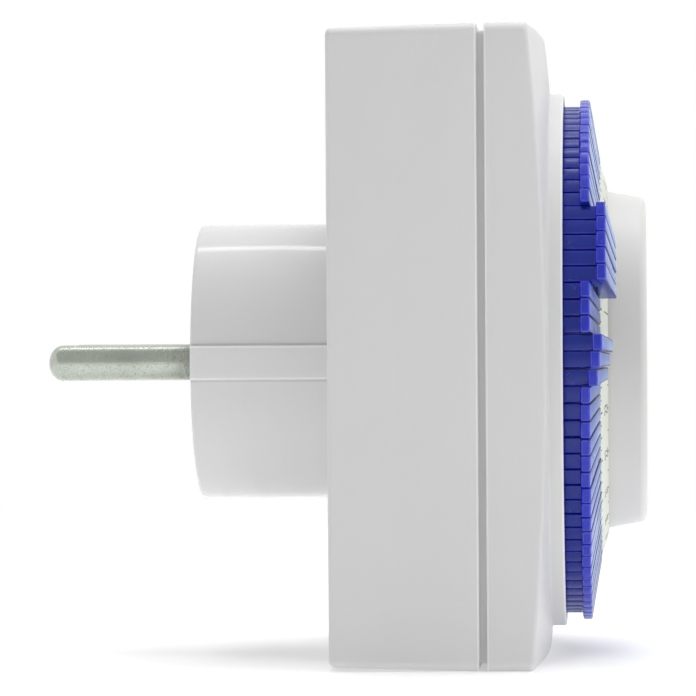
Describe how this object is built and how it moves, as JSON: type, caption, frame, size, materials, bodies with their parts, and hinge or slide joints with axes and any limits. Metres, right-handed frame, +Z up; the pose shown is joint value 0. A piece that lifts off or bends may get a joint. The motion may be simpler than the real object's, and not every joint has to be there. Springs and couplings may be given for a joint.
{
  "type": "plug-in timer switch",
  "caption": "Plug-in mechanical day timer: round two-pin plug behind a square two-part casing, with a turning ring of push-in tappets round a socket collar.",
  "frame": {"origin": "midway between the two plug pins, in the plane of the plug body's end face", "axes": "+Y along the pins, out of the plug; -Y is the front, where the dial and socket face; +Z up; +X to the right seen from the front"},
  "size_m": [0.0775, 0.0807, 0.0832],
  "materials": {
    "casing_plastic": "satin moulded white",
    "socket_plastic": "satin moulded white",
    "nickel": "nickel plated, drawn",
    "zinc_steel": "zinc plated",
    "brass_strip": "stamped",
    "inner_plastic": "natural acetal",
    "chassis_plastic": "moulded black",
    "enamelled_copper": "enamelled copper",
    "spring_copper": "rolled",
    "ferrite": "sintered ferrite",
    "lead_sleeve": "insulated lead",
    "blue_plastic": "moulded blue",
    "scale_plastic": "printed off-white"
  },
  "bodies": {
    "casing": {"rear_case": "casing_plastic", "front_cover": "casing_plastic", "case_screws": "zinc_steel", "plug_pin_left": "nickel", "plug_pin_right": "nickel", "pin_carrier": "inner_plastic", "contact_live": "brass_strip", "contact_neutral": "brass_strip", "live_strip": "brass_strip", "socket_insert": "socket_plastic", "socket_screws": "zinc_steel", "shutter_clip": "zinc_steel", "chassis_plate": "chassis_plastic", "gear_bridge": "zinc_steel", "bridge_screws": "zinc_steel", "motor_plate": "zinc_steel", "motor_case": "zinc_steel", "coil_bobbin": "chassis_plastic", "coil_winding": "enamelled_copper", "motor_screws": "zinc_steel", "motor_leads": "lead_sleeve", "gear_axles": "zinc_steel", "switch_case": "chassis_plastic", "switch_base": "inner_plastic", "common_terminal": "brass_strip", "load_terminal": "brass_strip", "switch_screws": "zinc_steel", "lever_pin": "zinc_steel"},
    "dial": {"dial_wheel": "blue_plastic", "scale_ring": "scale_plastic", "tappets_pressed": "blue_plastic", "tappets_raised": "blue_plastic"},
    "rotor": {"rotor_magnet": "ferrite", "rotor_shaft": "zinc_steel", "motor_pinion": "brass_strip"},
    "override": {"override_knob": "casing_plastic", "override_bar": "inner_plastic"},
    "first_gear": {"first_gear": "inner_plastic"},
    "second_gear": {"second_gear": "inner_plastic"},
    "clutch_wheel": {"clutch_wheel": "brass_strip"},
    "drive_pinion": {"drive_pinion": "zinc_steel"},
    "shutter": {"shutter": "inner_plastic"},
    "switch_blade": {"switch_blade": "spring_copper"},
    "switch_plunger": {"switch_plunger": "inner_plastic"},
    "switch_lever": {"switch_lever": "inner_plastic"},
    "tappet_1": {"tappet_1": "blue_plastic"},
    "tappet_2": {"tappet_2": "blue_plastic"},
    "tappet_3": {"tappet_3": "blue_plastic"},
    "tappet_4": {"tappet_4": "blue_plastic"},
    "tappet_5": {"tappet_5": "blue_plastic"},
    "tappet_6": {"tappet_6": "blue_plastic"},
    "tappet_7": {"tappet_7": "blue_plastic"},
    "tappet_8": {"tappet_8": "blue_plastic"},
    "tappet_9": {"tappet_9": "blue_plastic"},
    "tappet_10": {"tappet_10": "blue_plastic"},
    "tappet_11": {"tappet_11": "blue_plastic"},
    "tappet_12": {"tappet_12": "blue_plastic"},
    "tappet_13": {"tappet_13": "blue_plastic"}
  },
  "joints": [
    {"name": "dial_turn", "type": "hinge", "parent": "casing", "child": "dial", "pos_m": [0, -0.0477, 0], "axis": [0, 1, 0], "continuous": true},
    {"name": "drive_turn", "type": "hinge", "parent": "casing", "child": "drive_pinion", "pos_m": [0.02711, -0.044, -0.02711], "axis": [0, 1, 0], "continuous": true},
    {"name": "rotor_spin", "type": "hinge", "parent": "casing", "child": "rotor", "pos_m": [0, -0.03, -0.02325], "axis": [0, 1, 0], "continuous": true},
    {"name": "first_turn", "type": "hinge", "parent": "casing", "child": "first_gear", "pos_m": [0.01026, -0.036, -0.01792], "axis": [0, 1, 0], "continuous": true},
    {"name": "second_turn", "type": "hinge", "parent": "casing", "child": "second_gear", "pos_m": [0.02059, -0.037, -0.02012], "axis": [0, 1, 0], "continuous": true},
    {"name": "clutch_turn", "type": "hinge", "parent": "casing", "child": "clutch_wheel", "pos_m": [0.02711, -0.0382, -0.02711], "axis": [0, 1, 0], "continuous": true},
    {"name": "shutter_turn", "type": "hinge", "parent": "casing", "child": "shutter", "pos_m": [0, -0.0401, 0], "axis": [0, 1, 0], "range_deg": [0, 40], "stiffness_Nm_per_rad": 0.002},
    {"name": "lever_swing", "type": "hinge", "parent": "casing", "child": "switch_lever", "pos_m": [-0.01212, -0.0367, 0.01476], "axis": [0, 0, 1], "range_deg": [0, 6.31]},
    {"name": "plunger_travel", "type": "slide", "parent": "casing", "child": "switch_plunger", "axis": [0, -1, 0], "range_m": [0, 0.0013]},
    {"name": "blade_swing", "type": "hinge", "parent": "casing", "child": "switch_blade", "pos_m": [-0.01579, -0.03025, 0.01476], "axis": [0, 0, 1], "range_deg": [0, 2.9]},
    {"name": "override_slide", "type": "slide", "parent": "casing", "child": "override", "axis": [0, 0, -1], "range_m": [0, 0.004]},
    {"name": "tappet_1_push", "type": "slide", "parent": "dial", "child": "tappet_1", "axis": [0, 1, 0], "range_m": [-0.0021, 0]},
    {"name": "tappet_2_push", "type": "slide", "parent": "dial", "child": "tappet_2", "axis": [0, 1, 0], "range_m": [-0.0011, 0.001]},
    {"name": "tappet_3_push", "type": "slide", "parent": "dial", "child": "tappet_3", "axis": [0, 1, 0], "range_m": [-0.0008, 0.0013]},
    {"name": "tappet_4_push", "type": "slide", "parent": "dial", "child": "tappet_4", "axis": [0, 1, 0], "range_m": [-0.0005, 0.0016]},
    {"name": "tappet_5_push", "type": "slide", "parent": "dial", "child": "tappet_5", "axis": [0, 1, 0], "range_m": [-0.0021, 0]},
    {"name": "tappet_6_push", "type": "slide", "parent": "dial", "child": "tappet_6", "axis": [0, 1, 0], "range_m": [-0.0021, 0]},
    {"name": "tappet_7_push", "type": "slide", "parent": "dial", "child": "tappet_7", "axis": [0, 1, 0], "range_m": [-0.0021, 0]},
    {"name": "tappet_8_push", "type": "slide", "parent": "dial", "child": "tappet_8", "axis": [0, 1, 0], "range_m": [0, 0.0021]},
    {"name": "tappet_9_push", "type": "slide", "parent": "dial", "child": "tappet_9", "axis": [0, 1, 0], "range_m": [0, 0.0021]},
    {"name": "tappet_10_push", "type": "slide", "parent": "dial", "child": "tappet_10", "axis": [0, 1, 0], "range_m": [0, 0.0021]},
    {"name": "tappet_11_push", "type": "slide", "parent": "dial", "child": "tappet_11", "axis": [0, 1, 0], "range_m": [0, 0.0021]},
    {"name": "tappet_12_push", "type": "slide", "parent": "dial", "child": "tappet_12", "axis": [0, 1, 0], "range_m": [0, 0.0021]},
    {"name": "tappet_13_push", "type": "slide", "parent": "dial", "child": "tappet_13", "axis": [0, 1, 0], "range_m": [-0.0021, 0]}
  ],
  "couplings": [
    {"joint": "drive_turn", "follows": "dial_turn", "ratio": -10},
    {"joint": "first_turn", "follows": "rotor_spin", "ratio": -0.27778},
    {"joint": "second_turn", "follows": "rotor_spin", "ratio": 0.086806},
    {"joint": "clutch_turn", "follows": "rotor_spin", "ratio": -0.031002},
    {"joint": "plunger_travel", "follows": "lever_swing", "m_per_rad": 0.01167},
    {"joint": "blade_swing", "follows": "lever_swing", "ratio": 0.44}
  ]
}
